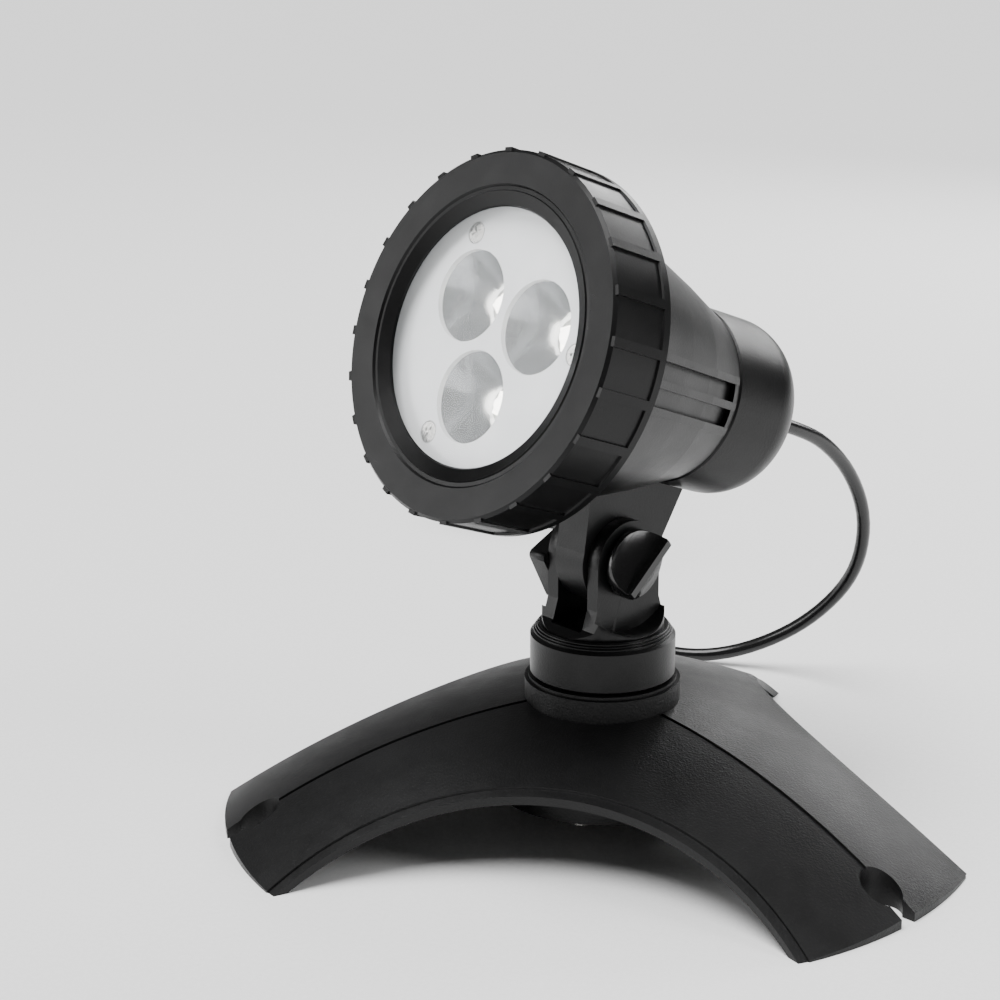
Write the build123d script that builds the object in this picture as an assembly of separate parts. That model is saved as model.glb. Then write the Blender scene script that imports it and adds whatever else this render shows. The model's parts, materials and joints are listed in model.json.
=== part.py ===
"""Underwater pond spotlight on a three-legged foot, with a swivelling and tilting lamp head.

Millimetres, +Z up. The origin is the centre of the foot, on the ground that it stands on, and
one leg points along +Y. The lamp is built in its rest position: swivelled about Z, tilted up
about the clamp stud, with its cord lying on the ground behind it.
"""

from build123d import *
from math import cos, pi, radians, sin, tan
import os

# ---------------------------------------------------------------- driving dimensions
# Foot
foot_radius = 85.0  # circle that the three leg ends lie on
leg_azimuths = (90, 210, 330)
gap_azimuths = (30, 150, 270)  # middle of the arch between two legs
arch_throat = 43.0  # from the centre to the middle of an arch, in plan
arch_radius = 79.8  # plan radius of an arch
sector_offset = 12.0  # each third of the shell is turned about an axis this far past the centre
shell_thickness = 2.5
rim_width = 2.2  # lowered band along each arch
rim_step = 0.6
ridge_groove = 1.2  # width of the parting groove along each leg
keyhole_circle = 78.0  # radius of the circle of the three holding-down holes
keyhole_radius = 4.5
keyhole_neck = 4.4
keyhole_boss = 6.6
hub_radius = 17.4
hub_top = 32.0
hub_floor = 22.0  # underside of the solid hub
skirt_radius = 25.0  # tube under the hub that holds the weight
skirt_bottom = 7.4
cover_bottom = 5.8

# Swivel and yoke
swivel_turn = 33.5  # degrees from straight ahead, towards -X
spigot_radius = 6.0
running_gap = 0.06  # radial clearance of every bearing
collar_radius = 16.2
collar_bottom = 32.4
collar_shoulder = 42.0
collar_top = 43.6
stem_radius = 10.0
yoke_radius = 13.6
pivot_height = 59.5
prong_radius = 9.3  # half-width and round top of the prongs
prong_face = 8.0  # from the middle plane to the outer flat of a prong
slot_half = 4.7
slot_floor = 45.0
scoop_radius = 15.6  # spot-faced arc below each outer flat

# Clamp
stud_radius = 2.5
knob_radius = 7.7
knob_seat = 8.7
knob_depth = 6.2
knob_slant = 42  # degrees, of the ridge across its face
trough_radius = 7.0
trough_offset = 7.4
trough_height = 8.6
stud_in_knob = 1.8
grip_depth = 4.8

# Lamp head, in its own frame: forward along the lamp's axis, measured from beside the pivot
tilt_up = 20.1  # degrees above level
axis_height = 38.4  # lamp axis above the pivot
lug_half = 4.4
lug_radius = 10.5
ring_front = 53.6
ring_rear = 37.6
rib_radius = 39.2
panel_radius = 38.75
rib_count = 24
rib_width = 2.0
aperture_radius = 27.2
rib_pitch = 5.6  # between the parallel ribs on each side of the body
side_rib_width = 1.7
channel_depth = 1.4
glass_front = 51.4
glass_thickness = 2.5
barrel_radius = 34.0
barrel_front = 47.4
cap_front = -6.9
cap_rear = -31.9
cap_radius = 20.3
cap_corner = 10.0
wall = 3.0
cup_circle = 12.6
cup_opening = 9.8
cup_start_angle = 21
screw_circle = 24.7
screw_start_angle = 2
plate_front = 48.8
plate_thickness = 1.2
board_front = 38.0
board_thickness = 1.6
sink_front = board_front - board_thickness
boot_end = -44.0

# Screws
cover_screw_circle = 19.5
post_radius = 2.6
pilot_radius = 1.2
swivel_screw_radius = 1.6

# Electronics
driver_front = 15.0
driver_rear = -17.0
driver_half = 13.0
lead_hole = 5.0  # from the lamp's axis to each wire through the heat sink
lead_radius = 0.8

# Joint between the lamp body and its rear cap
sink_seat = 35.0  # ledge that the heat sink sits on
spigot_outer = 17.6
spigot_inner = 15.2
spigot_rear = cap_front - 5.0
seal_thickness = 1.6

# Cord: a lead from the gland down to the ground, a coil of turns, a tail and a plug
cord_diameter = 3.4
lead_route = (  # after the gland's mouth and a short straight run out of it
    (40.0, 61.6, 72.2), (45.2, 71.8, 62.6), (48.4, 79.2, 50.4),
    (47.6, 84.2, 38.0), (43.5, 88.9, 27.4), (34.6, 92.5, 16.6), (24.0, 95.4, 8.6),
    (12.3, 96.2, 3.4), (0.8, 95.8, 1.75), (-13.5, 101.0, 1.75), (-27.0, 112.5, 1.75),
    (-38.0, 132.0, 1.75), (-42.0, 151.0, 1.75), (-45.5, 169.0, 1.75), (-47.6, 182.5, 1.75),
    (-53.2, 197.0, 1.75), (-62.5, 205.9, 1.75), (-74.1, 209.4, 1.75),
)
tail_route = (
    (-48.1, 239.4, 11.9), (-45.4, 231.3, 11.7), (-43.2, 222.0, 9.6), (-41.5, 213.2, 6.6),
    (-40.0, 205.8, 6.6),
)
coil_centre = (-71.0, 233.0)
coil_middle = 18.7  # radius of the middle of the turns
coil_columns = 4
coil_layers = 4
coil_turns = 15.7
plug_radius = 6.5

# ---------------------------------------------------------------- frames
tilt_axis = Vector(1, 0, 0).rotate(Axis.Z, -swivel_turn)  # from the lamp towards the knob
ahead = Vector(0, -1, 0).rotate(Axis.Z, -swivel_turn)
forward = ahead * cos(radians(tilt_up)) + Vector(0, 0, sin(radians(tilt_up)))
upward = forward.cross(tilt_axis)
pivot = Vector(0, 0, pivot_height)
yoke_frame = Plane(origin=(0, 0, 0), x_dir=tilt_axis, z_dir=(0, 0, 1))
pivot_frame = Plane(origin=pivot, x_dir=ahead * -1, z_dir=tilt_axis)  # x back, y up
lug_frame = Plane(origin=pivot, x_dir=forward * -1, z_dir=tilt_axis)  # x back, y up
lamp_frame = Plane(origin=pivot + upward * axis_height, x_dir=tilt_axis, z_dir=forward)


# ---------------------------------------------------------------- helpers
standing = (Align.CENTER, Align.CENTER, Align.MIN)


def save(name, shape):
    """Write one named sub-part, as one solid or a group of separate solids."""
    os.makedirs("parts", exist_ok=True)
    solids = shape.solids()
    whole = solids[0] if len(solids) == 1 else Compound(children=list(solids))
    export_step(whole, f"parts/{name}.step")


def turned(*profile):
    """A solid of revolution about Z from (radius, height) points."""
    outline = Polyline(*[(radius, 0, height) for radius, height in profile], close=True)
    return revolve(make_face(outline), Axis.Z)


def disc(radius, bottom, top):
    """A plain cylinder on the Z axis between two heights."""
    return Pos(0, 0, bottom) * Cylinder(radius, top - bottom, align=standing)


def tube(outer, inner, bottom, top):
    """A plain ring on the Z axis between two heights."""
    return disc(outer, bottom, top) - disc(inner, bottom - 1, top + 1)


def block(x_size, y_size, bottom, top):
    """A rectangular block centred on the Z axis between two heights."""
    return Pos(0, 0, bottom) * Box(x_size, y_size, top - bottom, align=standing)


def ring_of(count, radius, start, shape):
    """The same shape repeated around Z."""
    places = PolarLocations(radius, count, start_angle=start)
    return [place * shape for place in places]


# ---------------------------------------------------------------- foot
def dome(azimuth, drop):
    """The space under one third of the domed shell, lowered by drop."""
    curve = ThreePointArc((26, 0, 26.6 - drop), (58, 0, 18.9 - drop), (91.6, 0, 2.2 - drop))
    past_end = (curve @ 1) + (curve % 1) * 12
    outline = Polyline(
        curve @ 1, past_end, (past_end.X, 0, -20), (0, 0, -20), (0, 0, 27.6 - drop), curve @ 0
    )
    solid = revolve(make_face(curve + outline), Axis.Z)
    return Rot(0, 0, azimuth) * Pos(-sector_offset, 0, 0) * solid


def under_shell(drop):
    """The space under the whole domed top, creased along the three legs."""
    thirds = [dome(azimuth, drop) for azimuth in gap_azimuths]
    return thirds[0] & thirds[1] & thirds[2] & disc(foot_radius, 0, 40)


def arches(margin):
    """The three arched gaps between the legs, as upright cylinders."""
    centre = arch_throat + arch_radius
    return ring_of(3, centre, gap_azimuths[0], disc(arch_radius + margin, -1, 40))


def cover_screw_ring(shape):
    """The same shape at each of the three screws under the hub."""
    return ring_of(3, cover_screw_circle, gap_azimuths[0], shape)


def base_foot():
    """Three-legged domed foot with arched gaps, keyholes and a central hub."""
    top = under_shell(0)
    lowered = under_shell(rim_step)
    hollow = under_shell(shell_thickness)
    plateau = top - arches(rim_width)
    grooves = ring_of(
        3, foot_radius / 2, leg_azimuths[0], block(foot_radius, ridge_groove, 0, 40)
    )
    bosses = ring_of(3, keyhole_circle, leg_azimuths[0], disc(keyhole_boss, 0, 40))
    shell = (plateau - grooves) + (lowered - arches(0)) - hollow
    shell += [boss & lowered for boss in bosses]
    shell += tube(skirt_radius, skirt_radius - 2.2, skirt_bottom, 23) & lowered
    shell += disc(hub_radius, hub_floor, hub_top - 0.8)
    shell += disc(hub_radius - 0.8, hub_floor, hub_top)
    shell += cover_screw_ring(disc(post_radius, skirt_bottom, 24))
    shell -= cover_screw_ring(disc(pilot_radius, 0, cover_bottom + 9))
    keyholes = ring_of(3, keyhole_circle, leg_azimuths[0], disc(keyhole_radius, -1, 40))
    necks = ring_of(
        3, keyhole_circle + 6, leg_azimuths[0], block(12, keyhole_neck, -1, 40)
    )
    shell -= keyholes
    shell -= necks
    shell -= disc(spigot_radius + running_gap, 0, 40)
    shell -= tube(12.6, 10.2, hub_top - 1.2, hub_top + 1)
    return shell


def base_weight():
    """Ring-shaped weight that keeps the lamp upright, notched for the cover's screw posts."""
    weight = tube(skirt_radius - 2.5, 11.0, skirt_bottom + 0.6, 19.0)
    return weight - cover_screw_ring(disc(post_radius + 0.3, 0, 30))


def base_cover():
    """Round cover that closes the hub from below."""
    cover = disc(skirt_radius, cover_bottom, skirt_bottom)
    return cover - cover_screw_ring(disc(pilot_radius + 0.3, 0, 30))


def pan_screw(head_radius, head_height, shank_radius, length):
    """A screw along -Z with a cross recess, and with the underside of its head at zero."""
    screw = disc(shank_radius, -length, 0) + disc(head_radius, 0, head_height)
    slot = block(head_radius * 1.2, head_radius * 0.3, head_height * 0.5, head_height + 1)
    return screw - slot - Rot(0, 0, 90) * slot


def base_screws():
    """Three screws that hold the cover, driven upwards into the posts."""
    screw = Pos(0, 0, cover_bottom) * Rot(180, 0, 0) * pan_screw(2.8, 1.6, pilot_radius, 8.0)
    return Compound(children=cover_screw_ring(screw))


# ---------------------------------------------------------------- swivel and yoke
def friction_ring():
    """Rubber ring in the top of the hub that gives the swivel its drag."""
    return tube(12.4, 10.4, hub_top - 1.2, hub_top + 0.3)


def swivel_collar():
    """Sleeve between the hub and the yoke, with fine ridges round its shoulder."""
    collar = turned(
        (stem_radius, collar_bottom),
        (collar_radius - 0.5, collar_bottom),
        (collar_radius, collar_bottom + 0.5),
        (collar_radius, collar_shoulder - 0.6),
        (collar_radius - 0.8, collar_shoulder),
        (yoke_radius + 0.6, collar_top),
        (stem_radius, collar_top),
    )
    for step in range(3):
        ridge = Torus(collar_radius - 1.0 - 0.37 * step, 0.28)
        collar += Pos(0, 0, collar_shoulder + 0.3 + 0.5 * step) * ridge
    return collar


def prong_outline():
    """Side outline of the yoke: a round top, straight sides and a flare down to the collar."""
    waist = prong_radius
    flare = (yoke_radius + 1, -17.0)
    right = ((waist, 0), (waist, -9.5), (waist + 1.4, -14.0), flare, (flare[0], -40))
    left = [(-across, height) for across, height in reversed(right)]
    sides = extrude(make_face(Polyline(*right, *left, close=True)), 30, both=True)
    return sides + disc(prong_radius, -30, 30)


def yoke():
    """Stem, spigot and the two prongs that hold the lamp's lug."""
    body = disc(yoke_radius, collar_top, 80) & (pivot_frame * prong_outline())
    body += disc(stem_radius, collar_bottom, collar_top)
    body += disc(spigot_radius, hub_floor - 0.1, collar_bottom)
    for side in (0, 180):
        body -= pivot_frame * (Rot(0, side, 0) * disc(scoop_radius, prong_face, 20))
    body -= yoke_frame * block(2 * slot_half, 60, slot_floor, 90)
    body -= pivot_frame * disc(stud_radius + running_gap, -20, 20)
    return body - disc(swivel_screw_radius, 0, hub_floor + 10)


def swivel_washer():
    """Washer under the hub that keeps the spigot from lifting out."""
    return tube(9.2, swivel_screw_radius + 0.2, hub_floor - 1.3, hub_floor - 0.1)


def swivel_screw():
    """Screw up into the spigot."""
    screw = Rot(180, 0, 0) * pan_screw(3.6, 2.2, swivel_screw_radius, 10.0)
    return Pos(0, 0, hub_floor - 1.3) * screw


# ---------------------------------------------------------------- clamp
def nut_grip():
    """Square-cornered moulding on the far prong that keeps the nut from turning."""
    outline = Rectangle(14.0, 13.5)
    outline = fillet(outline.vertices(), 1.4)
    grip = extrude(Pos(-1.8, -3.2) * Rot(0, 0, 27) * outline, grip_depth)
    grip -= extrude(RegularPolygon(4.66, 6), 3.0)
    grip -= disc(stud_radius + 0.4, -1, grip_depth + 1)
    return pivot_frame * (Pos(0, 0, -prong_face - grip_depth) * grip)


def clamp_nut():
    """Hexagon nut that the stud screws into."""
    nut = extrude(RegularPolygon(4.6, 6), 2.9) - disc(stud_radius + running_gap, -1, 5)
    return pivot_frame * (Pos(0, 0, -prong_face - grip_depth) * nut)


def knob_washer():
    """Washer between the knob and the near prong."""
    return pivot_frame * tube(5.6, stud_radius, prong_face + 0.05, knob_seat)


def knob_stud():
    """Threaded stud moulded into the knob, through the lug and into the nut."""
    return pivot_frame * disc(stud_radius, -prong_face - grip_depth - 0.5, knob_seat + stud_in_knob)


def clamp_knob():
    """Round thumb knob: a thin slanting ridge across its face, with a trough on each side."""
    knob = disc(knob_radius, 0, knob_depth)
    knob = chamfer(knob.edges().sort_by(Axis.Z)[0], 0.4)
    knob = chamfer(knob.edges().sort_by(Axis.Z)[-1], 0.4)
    trough = Rot(0, 90, 0) * Cylinder(trough_radius, 40)
    for side in (-1, 1):
        knob -= Pos(0, side * trough_offset, trough_height) * trough
    knob -= disc(stud_radius, -1, stud_in_knob)
    return pivot_frame * (Pos(0, 0, knob_seat) * Rot(0, 0, knob_slant) * knob)


# ---------------------------------------------------------------- lamp head
def lamp(shape):
    """The shape, moved from the lamp's own frame to its place."""
    return lamp_frame * shape


def housing():
    """Cone-shaped lamp body with its lug, front barrel and two grooved sides."""
    cone = ((33.2, 36.4), (28.0, 18.0), (24.6, 6.6), (20.0, cap_front))
    outside = turned(
        (0, barrel_front),
        (barrel_radius, barrel_front),
        (barrel_radius, cone[0][1]),
        *cone,
        (spigot_outer, cap_front),
        (spigot_outer, spigot_rear),
        (0, spigot_rear),
    )
    inside = turned(
        (0, barrel_front + 1),
        (32.0, barrel_front + 1),
        (32.0, sink_front),
        (31.2, sink_front),
        (31.2, sink_seat),
        (29.8, sink_seat),
        *[(radius - wall, height) for radius, height in cone[1:]],
        (spigot_inner, cap_front),
        (spigot_inner, spigot_rear - 1),
        (0, spigot_rear - 1),
    )
    proud = turned((0, 35.0), *grown(cone, 0.55), (0, cap_front))
    floor = turned((0, 35.0), *grown(cone, -channel_depth), (0, cap_front))
    for side in (-1, 1):
        for middle in (-rib_pitch / 2, rib_pitch / 2):
            cut = side_bar(side, middle, rib_pitch - side_rib_width, -4.5, 33.5)
            outside -= cut - floor
        for middle in (-rib_pitch, 0, rib_pitch):
            outside += side_bar(side, middle, side_rib_width, -5.5, 34.5) & proud
    outline = make_face(
        Polyline((-10.4, -1), (10.4, -1), (16.9, 30), (-16.9, 30), close=True)
    )
    lug = extrude(outline, lug_half, both=True) + disc(lug_radius, -lug_half, lug_half)
    lug -= disc(stud_radius + running_gap, -20, 20)
    for side in (0, 180):
        lug -= Rot(0, side, 0) * disc(8.0, lug_half - 0.8, 20)
    lug = lug_frame * lug - lamp(disc(cap_radius + 0.3, cap_rear - 1, cap_front))
    return (lamp(outside) + lug) - lamp(inside)


def grown(profile, depth):
    """The (radius, height) points of a profile, moved outwards by depth."""
    return [(radius + depth, height) for radius, height in profile]


def side_bar(side, middle, width, rear, front):
    """A bar along one side of the lamp body, from its axis outwards."""
    bar = Box(40, width, front - rear, align=(Align.MIN, Align.CENTER, Align.MIN))
    return Rot(0, 0, 0 if side > 0 else 180) * Pos(0, middle, rear) * bar


def friction_discs():
    """Two rubber discs in the lug's sides that bear on the prongs."""
    pad = tube(7.9, stud_radius + 0.3, lug_half - 0.8, lug_half + 0.2)
    return lug_frame * Compound(children=[Rot(0, side, 0) * pad for side in (0, 180)])


def bezel_ring():
    """Bayonet front ring with raised grip ribs and a coned lip over the glass."""
    bore = barrel_radius + running_gap
    ring = turned(
        (bore, ring_rear),
        (rib_radius - 0.5, ring_rear),
        (rib_radius, ring_rear + 0.5),
        (rib_radius, ring_rear + 2.2),
        (panel_radius, ring_rear + 2.4),
        (panel_radius, ring_front - 0.7),
        (panel_radius - 0.7, ring_front),
        (31.6, ring_front - 0.3),
        (31.2, ring_front - 0.8),
        (30.4, ring_front - 0.8),
        (30.2, ring_front - 0.5),
        (aperture_radius + 0.3, glass_front + 0.5),
        (aperture_radius, glass_front + 0.05),
        (bore, glass_front + 0.05),
    )
    rib_depth = rib_radius - panel_radius + 1.4
    rib = block(rib_depth, rib_width, ring_rear + 1, ring_front - 0.3)
    return lamp(ring + ring_of(rib_count, rib_radius - rib_depth / 2, 7.5, rib))


def front_glass():
    """Clear disc clamped by the front ring."""
    return lamp(disc(barrel_radius - 0.2, glass_front - glass_thickness, glass_front))


def glass_gasket():
    """Flat ring that seals the glass to the end of the barrel."""
    return lamp(tube(barrel_radius - 0.3, 32.1, barrel_front, glass_front - glass_thickness))


def cup_ring(shape):
    """The same shape at each of the three light openings."""
    return ring_of(3, cup_circle, cup_start_angle, shape)


def plate_screw_ring(shape):
    """The same shape at each of the plate's three screws."""
    return ring_of(3, screw_circle, screw_start_angle, shape)


def reflector_plate():
    """Satin plate behind the glass with three openings for the light."""
    plate = disc(31.8, plate_front - plate_thickness, plate_front)
    plate -= cup_ring(disc(cup_opening, 0, 60))
    plate -= plate_screw_ring(disc(pilot_radius + 0.3, 0, 60))
    plate -= plate_screw_ring(disc(2.4, plate_front - 0.7, 60))
    return lamp(plate)


def reflector_cups():
    """Three polished cones from the emitters out to the plate."""
    cup_top = plate_front - plate_thickness
    cup = turned(
        (4.2, board_front),
        (4.7, board_front),
        (cup_opening + 0.5, cup_top - 0.6),
        (cup_opening + 0.5, cup_top),
        (cup_opening, cup_top),
    )
    return lamp(Compound(children=cup_ring(cup)))


def plate_screws():
    """Three screws that hold the plate, sunk into its face."""
    screw = Pos(0, 0, plate_front - 0.7) * pan_screw(2.2, 0.65, pilot_radius, 8.0)
    return lamp(Compound(children=plate_screw_ring(screw)))


def led_board():
    """Round circuit board that carries the three light-emitting packages."""
    board = disc(20.5, sink_front, board_front)
    return lamp(board - ring_of(2, lead_hole, 0, disc(lead_radius + 0.1, 0, 60)))


def led_emitters():
    """Three light-emitting packages, each a square base with a clear dome."""
    base_top = board_front + 1.0
    emitter = block(5.0, 5.0, board_front, base_top)
    emitter += (Pos(0, 0, base_top) * Sphere(2.1)) & disc(3, base_top - 0.1, base_top + 4)
    return lamp(Compound(children=cup_ring(emitter)))


def heat_sink():
    """Finned aluminium block with posts for the plate's screws."""
    fin_rear = 17.0
    body = turned(
        (0, 32.0),
        (28.4, 32.0),
        (29.4, sink_seat),
        (31.1, sink_seat),
        (31.1, sink_front),
        (0, sink_front),
    )
    body += disc(6.5, fin_rear, 32.5)
    fin_space = turned((0, fin_rear), (24.0, fin_rear), (28.2, 32.5), (0, 32.5))
    for index in range(-3, 4):
        body += fin_space & (Pos(7 * index, 0, 0) * block(1.6, 80, 0, 60))
    post_top = plate_front - plate_thickness
    body += plate_screw_ring(disc(2.9, sink_front - 1, post_top))
    body -= plate_screw_ring(disc(pilot_radius, plate_front - 9.0, 60))
    body -= ring_of(2, lead_hole, 0, disc(lead_radius + 0.1, 0, 60))
    return lamp(body)


def driver_board():
    """Circuit board along the middle of the body that feeds the LED board."""
    return lamp(block(2 * driver_half, 1.6, driver_rear, driver_front))


def driver_parts():
    """Coil, two capacitors, control chip and remote receiver on the driver board."""
    upright = Rot(-90, 0, 0)
    coil = Pos(-5, 0.8, 4) * upright * disc(5.0, 0, 6.0)
    capacitors = [Pos(6.5, 0.8, height) * upright * disc(3.2, 0, 8.0) for height in (8, -1)]
    chip = Pos(-4, 1.8, -9) * Box(8, 2, 6)
    receiver = Pos(5, 2.8, -11) * Box(6, 4, 5)
    return lamp(Compound(children=[coil, *capacitors, chip, receiver]))


def inner_leads():
    """Two insulated wires from the driver board through the heat sink to the LED board."""
    lead = disc(lead_radius, driver_front, board_front - 0.1)
    return lamp(Compound(children=ring_of(2, lead_hole, 0, lead)))


def rear_cap():
    """Round-cornered cap on the back of the body, with the cord's hole in its middle."""
    inner_rear = cap_rear + 3.0
    cap = disc(cap_radius, cap_rear, cap_front)
    cap = fillet(cap.edges().sort_by(Axis.Z)[0], cap_corner)
    cap = chamfer(cap.edges().sort_by(Axis.Z)[-1], 0.4)
    cavity = disc(spigot_outer - 2.0, inner_rear, cap_front)
    cavity = fillet(cavity.edges().sort_by(Axis.Z)[0], cap_corner - 3.0)
    cap -= cavity
    cap -= disc(spigot_outer + 0.05, spigot_rear - seal_thickness, cap_front + 1)
    return lamp(cap - disc(4.0, cap_rear - 1, inner_rear + 1))


def cap_seal():
    """Flat ring squeezed between the body's spigot and the cap."""
    return lamp(tube(spigot_outer, spigot_inner + 0.5, spigot_rear - seal_thickness, spigot_rear))


def cable_gland():
    """Strain relief through the cap: a flange, a neck and a tapered, grooved boot."""
    gland = turned(
        (0, cap_rear + 6.0),
        (4.0, cap_rear + 6.0),
        (4.0, cap_rear),
        (6.4, cap_rear),
        (6.4, cap_rear - 1.4),
        (4.4, cap_rear - 2.2),
        (2.6, boot_end),
        (0, boot_end),
    )
    for step in range(4):
        height = cap_rear - 3.6 - 2.1 * step
        gland -= tube(8, 3.75 - 0.32 * step, height - 0.45, height + 0.45)
    return lamp(gland)


def gland_nut():
    """Hexagon nut that holds the gland inside the cap."""
    nut = extrude(RegularPolygon(7.0, 6), 2.6) - disc(4.0, -1, 5)
    return lamp(Pos(0, 0, cap_rear + 3.0) * nut)


def core_leads():
    """The cord's two cores, from the gland to the driver board."""
    lead = disc(0.9, cap_rear + 6.0, driver_rear)
    return lamp(Compound(children=ring_of(2, 2, 0, lead)))


# ---------------------------------------------------------------- cord
def route_tube(name, points):
    """A cord along straight runs joined by tangent arcs, and its length."""
    points = [Vector(point) for point in points]
    runs = [after - before for before, after in zip(points, points[1:])]
    radii = []
    for before, after in zip(runs, runs[1:]):
        half_turn = radians(before.get_angle(after)) / 2
        radii.append(0.45 * min(before.length, after.length) / tan(half_turn))
    path = FilletPolyline(*points, radius=radii)
    section = Plane(origin=points[0], z_dir=runs[0]) * Circle(cord_diameter / 2)
    solid = sweep(section, path=path)
    filled = solid.volume / (pi * cord_diameter**2 / 4 * path.length)
    print(f"{name}: length {path.length:.1f}, volume over section times length {filled:.4f}")
    print("  radii", " ".join(f"{radius:.0f}" for radius in radii))
    return solid, path.length


def cord_coil():
    """The outer shape of the stored turns."""
    half_width = coil_columns * cord_diameter / 2
    height = coil_layers * cord_diameter + 0.1
    ring = tube(coil_middle + half_width, coil_middle - half_width, 0, height)
    return Pos(*coil_centre, 0) * ring


def on_plug(shape):
    """The shape, moved from the plug's own frame to the end of the tail."""
    end = Vector(*tail_route[-1])
    return Plane(origin=end, z_dir=end - Vector(*tail_route[-2])) * shape


def plug_body():
    """Moulded plug: tapered relief, grip with shallow grooves, and nose with a seal groove."""
    body = turned(
        (0, 0),
        (2.6, 0),
        (4.4, 11.5),
        (plug_radius, 13.0),
        (plug_radius, 26.0),
        (5.0, 27.0),
        (5.0, 31.0),
        (4.3, 31.0),
        (4.3, 33.0),
        (5.0, 33.0),
        (5.0, 39.5),
        (4.6, 40.0),
        (3.6, 40.0),
        (3.6, 34.0),
        (0, 34.0),
    )
    for step in range(5):
        height = 15.5 + 2.0 * step
        body -= tube(8, plug_radius - 0.4, height - 0.5, height + 0.5)
    return on_plug(body)


def plug_seal():
    """Rubber ring in the groove of the plug's nose."""
    return on_plug(tube(5.3, 4.3, 31.0, 33.0))


def plug_pins():
    """The plug's two contacts."""
    return on_plug(Compound(children=ring_of(2, 1.8, 0, disc(0.8, 34.0, 39.0))))


# ---------------------------------------------------------------- everything
gland_mouth = lamp_frame.from_local_coords((0, 0, boot_end))
lead_start = (gland_mouth, gland_mouth - forward * 9.0)
lead, lead_length = route_tube("cord_lead", (*lead_start, *lead_route))
tail, tail_length = route_tube("cord_tail", tail_route)
coil = cord_coil()
turns_length = coil_turns * 2 * pi * coil_middle
print(f"cord: {lead_length + turns_length + tail_length:.0f} mm in all, {turns_length:.0f} mm coiled")
save("cord_lead", lead - coil)
save("cord_tail", tail - coil)
save("cord_coil", coil)
for sub_part in (
    base_foot, base_weight, base_cover, base_screws, friction_ring,
    swivel_collar, yoke, swivel_washer, swivel_screw, nut_grip, clamp_nut,
    knob_washer, knob_stud, clamp_knob,
    housing, friction_discs, bezel_ring, front_glass, glass_gasket,
    reflector_plate, reflector_cups, plate_screws, led_board, led_emitters, heat_sink,
    driver_board, driver_parts, inner_leads, rear_cap, cap_seal, cable_gland, gland_nut, core_leads,
    plug_body, plug_seal, plug_pins,
):
    save(sub_part.__name__, sub_part())
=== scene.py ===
"""Looks of the pond spotlight: materials, edges, the cord at its real length, studio and camera."""
import json
import math

import bmesh
import bpy
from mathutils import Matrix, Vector

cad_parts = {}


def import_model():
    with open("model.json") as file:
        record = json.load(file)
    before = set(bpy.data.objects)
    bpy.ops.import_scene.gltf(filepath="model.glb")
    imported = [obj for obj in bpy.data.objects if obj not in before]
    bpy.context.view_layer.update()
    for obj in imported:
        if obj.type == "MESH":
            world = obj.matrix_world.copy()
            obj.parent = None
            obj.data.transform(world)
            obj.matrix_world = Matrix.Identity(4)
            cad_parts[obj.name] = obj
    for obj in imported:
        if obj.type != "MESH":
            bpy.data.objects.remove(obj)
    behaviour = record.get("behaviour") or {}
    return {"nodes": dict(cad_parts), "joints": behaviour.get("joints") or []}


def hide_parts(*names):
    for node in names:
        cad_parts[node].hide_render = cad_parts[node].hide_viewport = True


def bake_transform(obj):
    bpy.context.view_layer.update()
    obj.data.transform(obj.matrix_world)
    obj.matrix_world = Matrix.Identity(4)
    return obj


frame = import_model()
nodes = frame["nodes"]
joints = {joint["name"]: joint for joint in frame["joints"]}
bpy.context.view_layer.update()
MM = 0.001


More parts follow.
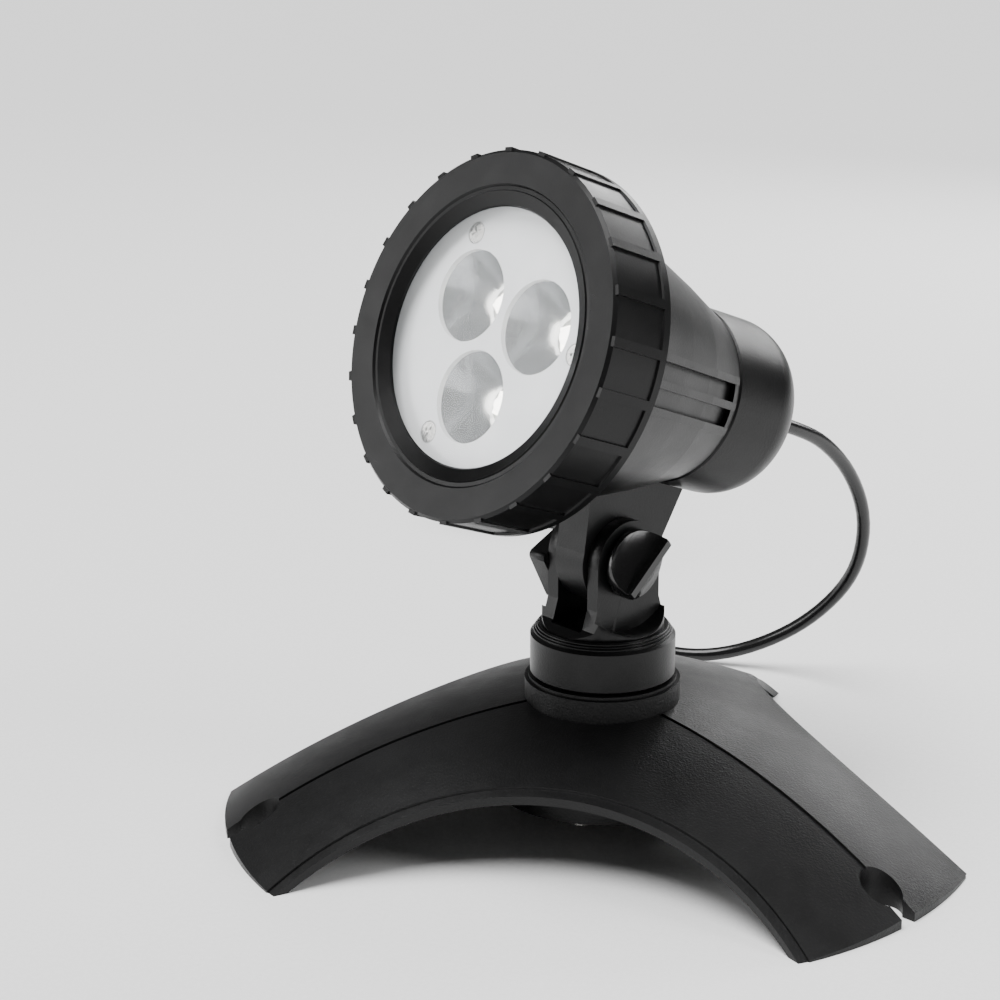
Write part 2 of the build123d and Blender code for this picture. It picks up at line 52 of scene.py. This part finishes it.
# ---------------------------------------------------------------- shader building
class Shader:
    """A Principled material with its constants on its own sockets and its detail from nodes."""

    def __init__(self, name, **constants):
        self.material = bpy.data.materials.new(name)
        self.material.use_nodes = True
        self.tree = self.material.node_tree
        self.principled = self.tree.nodes["Principled BSDF"]
        for socket, value in constants.items():
            self.principled.inputs[socket.replace("_", " ")].default_value = value
        self.place = self.node("ShaderNodeTexCoord").outputs["Object"]

    def node(self, kind, **settings):
        made = self.tree.nodes.new(kind)
        for key, value in settings.items():
            setattr(made, key, value)
        return made

    def link(self, output, target):
        self.tree.links.new(output, target)

    def noise(self, scale, detail=3.0, roughness=0.55, stretch=None):
        """Noise over the piece, in features per metre, stretched along an axis if asked."""
        texture = self.node("ShaderNodeTexNoise")
        texture.inputs["Scale"].default_value = scale
        texture.inputs["Detail"].default_value = detail
        texture.inputs["Roughness"].default_value = roughness
        place = self.place
        if stretch:
            mapping = self.node("ShaderNodeMapping")
            mapping.inputs["Scale"].default_value = stretch
            self.link(place, mapping.inputs["Vector"])
            place = mapping.outputs["Vector"]
        self.link(place, texture.inputs["Vector"])
        return texture.outputs["Fac"]

    def cells(self, scale):
        texture = self.node("ShaderNodeTexVoronoi")
        texture.inputs["Scale"].default_value = scale
        self.link(self.place, texture.inputs["Vector"])
        return texture.outputs["Distance"]

    def spread(self, value, low, high, start=0.35, end=0.65):
        """The value, with start to end of it spread over low to high."""
        remap = self.node("ShaderNodeMapRange")
        remap.inputs["From Min"].default_value = start
        remap.inputs["From Max"].default_value = end
        remap.inputs["To Min"].default_value = low
        remap.inputs["To Max"].default_value = high
        self.link(value, remap.inputs["Value"])
        return remap.outputs["Result"]

    def blend(self, factor, first, second):
        """One colour turning into another."""
        mix = self.node("ShaderNodeMix", data_type="RGBA")
        self.link(factor, mix.inputs["Factor"])
        for socket, colour in (("A", first), ("B", second)):
            target = [s for s in mix.inputs if s.name == socket and s.type == "RGBA"][0]
            if isinstance(colour, bpy.types.NodeSocket):
                self.link(colour, target)
            else:
                target.default_value = (*colour, 1)
        return [s for s in mix.outputs if s.type == "RGBA"][0]

    def bump(self, height, distance, strength=1.0, under=None):
        """A bump of that height in metres, on top of another one."""
        made = self.node("ShaderNodeBump")
        made.inputs["Strength"].default_value = strength
        made.inputs["Distance"].default_value = distance
        self.link(height, made.inputs["Height"])
        if under is not None:
            self.link(under, made.inputs["Normal"])
        return made.outputs["Normal"]

    def finish(self, colour=None, roughness=None, normal=None):
        outputs = {"Base Color": colour, "Roughness": roughness, "Normal": normal}
        for socket, output in outputs.items():
            if output is not None:
                self.link(output, self.principled.inputs[socket])
        return self.material


def moulded(name, dark, light, gloss, grain, grain_depth, wave_depth=0.00010, **constants):
    """Moulded plastic: a spark-eroded grain, faint flow marks and rubbed patches."""
    shader = Shader(name, **constants)
    patches = shader.noise(38, 4)
    speck = shader.noise(grain, 2.5, 0.6)
    rubbed = shader.spread(shader.noise(120, 5, 0.65), 0, 1, 0.42, 0.72)
    colour = shader.blend(shader.spread(patches, 0, 1), dark, light)
    specked = [channel * 1.7 for channel in light]
    colour = shader.blend(shader.spread(speck, 0, 0.5, 0.55, 0.75), colour, specked)
    roughness = shader.node("ShaderNodeMath", operation="MULTIPLY_ADD")
    shader.link(rubbed, roughness.inputs[0])
    roughness.inputs[1].default_value = -0.07
    roughness.inputs[2].default_value = gloss
    fine = shader.bump(speck, grain_depth)
    waves = shader.bump(shader.noise(55, 2, 0.4), wave_depth, 0.6, fine)
    return shader.finish(colour, roughness.outputs[0], waves)


def grey(value):
    return (value, value, value * 1.04)


def foot_plastic():
    return moulded(
        "foot_plastic", grey(0.0030), grey(0.0055), 0.42, 1900, 0.00009, Specular_IOR_Level=0.26
    )


def body_plastic():
    return moulded(
        "body_plastic", grey(0.0028), grey(0.0048), 0.36, 2300, 0.00004, Specular_IOR_Level=0.24
    )


def ring_plastic():
    return moulded(
        "ring_plastic", grey(0.0026), grey(0.0040), 0.34, 2600, 0.00002, Specular_IOR_Level=0.18
    )


def knob_plastic():
    return moulded(
        "knob_plastic", grey(0.0030), grey(0.0050), 0.24, 3000, 0.00001, 0.00005,
        Specular_IOR_Level=0.5,
    )


def cord_jacket():
    return moulded(
        "cord_jacket", grey(0.0030), grey(0.0050), 0.26, 1500, 0.00002, 0.00008,
        Specular_IOR_Level=0.45,
    )


def soft_rubber():
    return moulded(
        "soft_rubber", grey(0.0080), grey(0.0140), 0.60, 1400, 0.00006, Specular_IOR_Level=0.3
    )


def turned_metal(name, colour, roughness, lines, **constants):
    """Machined or drawn metal: fine marks one way and a faint tarnish."""
    shader = Shader(name, Metallic=1.0, **constants)
    marks = shader.noise(lines, 3, 0.6, (1, 1, 0.06))
    tarnish = shader.spread(shader.noise(90, 4), 0, 1)
    tint = shader.blend(tarnish, colour, [c * 0.78 for c in colour])
    shine = shader.spread(marks, roughness - 0.07, roughness + 0.09)
    return shader.finish(tint, shine, shader.bump(marks, 0.00002))


def steel():
    return turned_metal("steel", (0.62, 0.61, 0.59), 0.28, 2600)


def brass():
    return turned_metal("brass", (0.80, 0.58, 0.27), 0.26, 2600)


def cast_aluminium():
    return turned_metal("cast_aluminium", (0.66, 0.67, 0.69), 0.42, 1500)


def cast_iron():
    shader = Shader("cast_iron", Metallic=0.7)
    lumps = shader.noise(420, 5, 0.7)
    colour = shader.blend(shader.spread(lumps, 0, 1), (0.09, 0.09, 0.095), (0.18, 0.17, 0.165))
    return shader.finish(colour, shader.spread(lumps, 0.55, 0.8), shader.bump(lumps, 0.0005))


def satin_plate():
    """Silver-white satin coat with a very fine orange peel."""
    shader = Shader("satin_plate", Metallic=0.1)
    peel = shader.noise(1300, 2, 0.5)
    clouds = shader.noise(60, 3)
    colour = shader.blend(shader.spread(clouds, 0, 1), (0.90, 0.91, 0.92), (0.84, 0.85, 0.87))
    shine = shader.spread(shader.noise(240, 4), 0.30, 0.42)
    return shader.finish(colour, shine, shader.bump(peel, 0.00002))


def mirror_coat():
    """Vacuum-metallised reflector with a slight ripple."""
    shader = Shader("mirror_coat", Metallic=1.0)
    ripple = shader.noise(260, 2, 0.4)
    colour = shader.blend(shader.spread(ripple, 0, 1), (0.50, 0.51, 0.52), (0.40, 0.41, 0.43))
    shine = shader.spread(shader.noise(700, 4), 0.16, 0.26)
    return shader.finish(colour, shine, shader.bump(ripple, 0.00008))


def clear_glass():
    """Clear cover glass with a breath of dust."""
    shader = Shader("clear_glass", Alpha=0.10, IOR=1.5, Base_Color=(0.93, 0.96, 0.96, 1))
    dust = shader.noise(900, 4, 0.7)
    return shader.finish(None, shader.spread(dust, 0.02, 0.12), None)


def solder_mask(name, colour):
    """Circuit board: solder mask over faint copper tracks."""
    shader = Shader(name, Specular_IOR_Level=0.45)
    tracks = shader.cells(420)
    tint = shader.blend(shader.spread(tracks, 0, 1, 0.2, 0.3), colour, [c * 0.8 for c in colour])
    shine = shader.spread(shader.noise(500, 3), 0.28, 0.42)
    return shader.finish(tint, shine, shader.bump(tracks, 0.00004))


def phosphor():
    """Light-emitting package: pale ceramic and a glowing dome."""
    shader = Shader(
        "phosphor", Emission_Color=(1.0, 0.98, 0.94, 1), Emission_Strength=8.0, Coat_Weight=0.6
    )
    grains = shader.noise(2600, 3)
    colour = shader.blend(shader.spread(grains, 0, 1), (0.93, 0.90, 0.72), (0.86, 0.80, 0.50))
    shine = shader.spread(grains, 0.2, 0.4)
    return shader.finish(colour, shine, shader.bump(grains, 0.00002))


def wire_jacket():
    shader = Shader("wire_jacket")
    mottle = shader.noise(300, 3)
    colour = shader.blend(shader.spread(mottle, 0, 1), (0.36, 0.02, 0.02), (0.26, 0.015, 0.015))
    return shader.finish(colour, shader.spread(mottle, 0.32, 0.45), shader.bump(mottle, 0.00004))


def component_black():
    return moulded(
        "component_black", (0.02, 0.02, 0.021), (0.035, 0.035, 0.037), 0.5, 2400, 0.00004
    )


# ---------------------------------------------------------------- materials on the CAD nodes
finishes = {
    foot_plastic: ("base_foot", "base_cover"),
    body_plastic: ("housing", "rear_cap", "yoke", "swivel_collar", "nut_grip"),
    ring_plastic: ("bezel_ring",),
    knob_plastic: ("clamp_knob",),
    cord_jacket: ("plug_body", "cable_gland"),
    soft_rubber: ("friction_ring", "friction_discs", "glass_gasket", "cap_seal", "plug_seal"),
    steel: (
        "base_screws", "swivel_washer", "swivel_screw", "clamp_nut", "knob_washer", "knob_stud",
        "plate_screws",
    ),
    brass: ("plug_pins", "gland_nut"),
    cast_aluminium: ("heat_sink",),
    cast_iron: ("base_weight",),
    satin_plate: ("reflector_plate",),
    mirror_coat: ("reflector_cups",),
    clear_glass: ("front_glass",),
    phosphor: ("led_emitters",),
    wire_jacket: ("inner_leads", "core_leads"),
    component_black: ("driver_parts",),
}
boards = {"led_board": (0.84, 0.85, 0.83), "driver_board": (0.03, 0.20, 0.09)}


def paint(piece, material):
    piece.data.materials.clear()
    piece.data.materials.append(material)


for make, names in finishes.items():
    material = make()
    for name in names:
        paint(nodes[name], material)
jacket = nodes["cable_gland"].data.materials[0]
for name, colour in boards.items():
    paint(nodes[name], solder_mask(name + "_mask", colour))


# ---------------------------------------------------------------- softened edges
def soften(name, width):
    """Round a moulding's sharp edges a little, as its mould does."""
    weld = nodes[name].modifiers.new("weld", "WELD")
    weld.merge_threshold = 0.002 * MM
    edges = nodes[name].modifiers.new("edges", "BEVEL")
    edges.width = width
    edges.segments = 2
    edges.limit_method = "ANGLE"
    edges.angle_limit = math.radians(38)
    edges.use_clamp_overlap = True
    edges.harden_normals = True


for name, width in (("yoke", 0.2), ("nut_grip", 0.2), ("clamp_knob", 0.15)):
    soften(name, width * MM)


# ---------------------------------------------------------------- cord
CORD_RADIUS = 1.7 * MM
lamp_axis = Vector(joints["bezel_turn"]["axis"]).normalized()
beside_pivot = Vector(joints["bezel_turn"]["pos_m"])
GLAND_MOUTH = 44.0 * MM  # behind the point beside the pivot, along the lamp's axis
STRAIGHT_OUT = 9.0 * MM  # first run of the cord, straight out of the gland
gland_mouth = beside_pivot - lamp_axis * GLAND_MOUTH
lead_route = (
    (40.0, 61.6, 72.2), (45.2, 71.8, 62.6), (48.4, 79.2, 50.4), (47.6, 84.2, 38.0),
    (43.5, 88.9, 27.4), (34.6, 92.5, 16.6), (24.0, 95.4, 8.6), (12.3, 96.2, 3.4),
    (0.8, 95.8, 1.75), (-13.5, 101.0, 1.75), (-27.0, 112.5, 1.75), (-38.0, 132.0, 1.75),
    (-42.0, 151.0, 1.75), (-45.5, 169.0, 1.75), (-47.6, 182.5, 1.75), (-53.2, 197.0, 1.75),
    (-62.5, 205.9, 1.75), (-74.1, 209.4, 1.75),
)
tail_route = (
    (-48.1, 239.4, 11.9), (-45.4, 231.3, 11.7), (-43.2, 222.0, 9.6), (-41.5, 213.2, 6.6),
    (-40.0, 205.8, 6.6),
)
SPLIT = Vector(lead_route[2]) * MM  # the cord is cut in two here; the lead above runs along the head
coil_centre = Vector((-71.0, 233.0, 0)) * MM
PITCH = 3.4 * MM
COLUMNS = 4
LAYERS = 4
COIL_MIDDLE = 18.7 * MM
POINTS_PER_TURN = 16
OFF_FLOOR = 0.05 * MM


def coil_point(turn, start_angle):
    """Where the cord is after so many turns: inwards on even layers, outwards on odd ones."""
    layer = min(int(turn / COLUMNS), LAYERS - 1)
    along = turn - layer * COLUMNS
    step = min(along, COLUMNS - 1)
    column = step if layer % 2 == 0 else COLUMNS - 1 - step
    rise = max(0.0, along - (COLUMNS - 1)) if layer < LAYERS - 1 else 0.0
    radius = COIL_MIDDLE + ((COLUMNS - 1) / 2 - column) * PITCH
    angle = start_angle - turn * 2 * math.pi
    height = CORD_RADIUS + OFF_FLOOR + (layer + rise) * PITCH
    return coil_centre + Vector((radius * math.cos(angle), radius * math.sin(angle), height))


def angle_about_coil(point):
    away = Vector(point) * MM - coil_centre
    return math.atan2(away.y, away.x)


def cord_points():
    """Control points of the whole cord, from the gland to the plug."""
    lead = [gland_mouth, gland_mouth - lamp_axis * STRAIGHT_OUT]
    lead += [Vector(point) * MM for point in lead_route[:-1]]
    start = angle_about_coil(lead_route[-1])
    end = angle_about_coil(tail_route[0])
    turns = LAYERS * COLUMNS - 1 + ((start - end) % (2 * math.pi)) / (2 * math.pi)
    count = round(turns * POINTS_PER_TURN)
    coil = [coil_point(turns * index / count, start) for index in range(count + 1)]
    return lead + coil + [Vector(point) * MM for point in tail_route[1:]]


def smooth_line(points):
    """The points along a NURBS spline with those control points."""
    curve = bpy.data.curves.new("cord_line", "CURVE")
    curve.dimensions = "3D"
    curve.resolution_u = 4
    spline = curve.splines.new("NURBS")
    spline.points.add(len(points) - 1)
    for target, point in zip(spline.points, points):
        target.co = (*point, 1)
    spline.order_u = 3
    spline.use_endpoint_u = True
    holder = bpy.data.objects.new("cord_line", curve)
    bpy.context.scene.collection.objects.link(holder)
    mesh = bpy.data.meshes.new_from_object(holder)
    line = [vertex.co.copy() for vertex in mesh.vertices]
    bpy.data.objects.remove(holder)
    return line


def rings_along(line, radius, sides=16):
    """Rings of points square to a line, one at each of its points."""
    rings = []
    across = (line[1] - line[0]).orthogonal()
    for index, point in enumerate(line):
        before, after = line[max(index - 1, 0)], line[min(index + 1, len(line) - 1)]
        along = (after - before).normalized()
        across = (across - along * across.dot(along)).normalized()
        beside = along.cross(across)
        turns = [2 * math.pi * side / sides for side in range(sides)]
        rings.append(
            [point + (across * math.cos(turn) + beside * math.sin(turn)) * radius for turn in turns]
        )
    return rings


def tube_through(name, rings):
    """A closed round tube through rings of points, with flat ends."""
    mesh = bmesh.new()
    loops = [[mesh.verts.new(point) for point in ring] for ring in rings]
    for loop, following in zip(loops, loops[1:]):
        for side in range(len(loop)):
            other = (side + 1) % len(loop)
            mesh.faces.new((loop[side], loop[other], following[other], following[side]))
    for cap in (mesh.faces.new(list(reversed(loops[0]))), mesh.faces.new(loops[-1])):
        for edge in cap.edges:
            edge.smooth = False
    data = bpy.data.meshes.new(name)
    mesh.to_mesh(data)
    mesh.free()
    for polygon in data.polygons:
        polygon.use_smooth = len(polygon.vertices) == 4
    piece = bpy.data.objects.new(name, data)
    bpy.context.scene.collection.objects.link(piece)
    return piece


line = smooth_line(cord_points())
split = min(range(len(line)), key=lambda index: (line[index] - SPLIT).length)
cord_rings = rings_along(line, CORD_RADIUS)
upper = tube_through("cord_upper", cord_rings[: split + 1])
lower = tube_through("cord_lower", cord_rings[split:])
for piece in (upper, lower):
    paint(piece, jacket)
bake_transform(upper)
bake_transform(lower)
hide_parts("cord_lead", "cord_coil", "cord_tail")


# ---------------------------------------------------------------- studio
def floor():
    """Plain pale floor under and behind the lamp."""
    half_size = 6.0
    mesh = bmesh.new()
    bmesh.ops.create_grid(mesh, x_segments=2, y_segments=2, size=half_size)
    data = bpy.data.meshes.new("floor")
    mesh.to_mesh(data)
    mesh.free()
    piece = bpy.data.objects.new("floor", data)
    bpy.context.scene.collection.objects.link(piece)
    shader = Shader("floor_paper")
    fibre = shader.noise(900, 4)
    colour = shader.blend(shader.spread(fibre, 0, 1), (0.86, 0.86, 0.86), (0.82, 0.82, 0.82))
    paint(piece, shader.finish(colour, shader.spread(fibre, 0.6, 0.8), None))


def softbox(name, place, aim, width, height, power):
    data = bpy.data.lights.new(name, "AREA")
    data.shape = "RECTANGLE"
    data.size = width
    data.size_y = height
    data.energy = power
    lamp = bpy.data.objects.new(name, data)
    lamp.location = place
    lamp.rotation_euler = (Vector(aim) - Vector(place)).to_track_quat("-Z", "Y").to_euler()
    bpy.context.scene.collection.objects.link(lamp)


def sky(place, strength, angle):
    """Broad, soft light from far above that lights the floor evenly."""
    data = bpy.data.lights.new("sky", "SUN")
    data.energy = strength
    data.angle = math.radians(angle)
    lamp = bpy.data.objects.new("sky", data)
    lamp.rotation_euler = (-Vector(place)).to_track_quat("-Z", "Y").to_euler()
    bpy.context.scene.collection.objects.link(lamp)


def camera():
    data = bpy.data.cameras.new("camera")
    data.lens = 80.74
    data.sensor_width = 36
    data.clip_start = 0.01
    made = bpy.data.objects.new("camera", data)
    made.location = (0.1043, -0.4604, 0.2092)
    looking = Vector((-0.2573, 0.9250, -0.2796))
    made.rotation_euler = looking.to_track_quat("-Z", "Y").to_euler()
    bpy.context.scene.collection.objects.link(made)
    bpy.context.scene.camera = made


def world():
    made = bpy.data.worlds.new("studio")
    made.use_nodes = True
    background = made.node_tree.nodes["Background"]
    background.inputs["Color"].default_value = (1, 1, 1, 1)
    background.inputs["Strength"].default_value = 0.14
    bpy.context.scene.world = made


floor()
world()
aim = (0, 0, 0.06)
sky((-0.22, -0.24, 0.95), 5.8, 45)
softbox("right", (0.75, -0.10, 0.45), aim, 0.16, 0.5, 3.0)
softbox("left", (-0.85, -0.25, 0.30), aim, 0.3, 0.5, 3.0)
softbox("rear", (0.30, 0.85, 0.42), aim, 0.7, 0.16, 4.0)
camera()
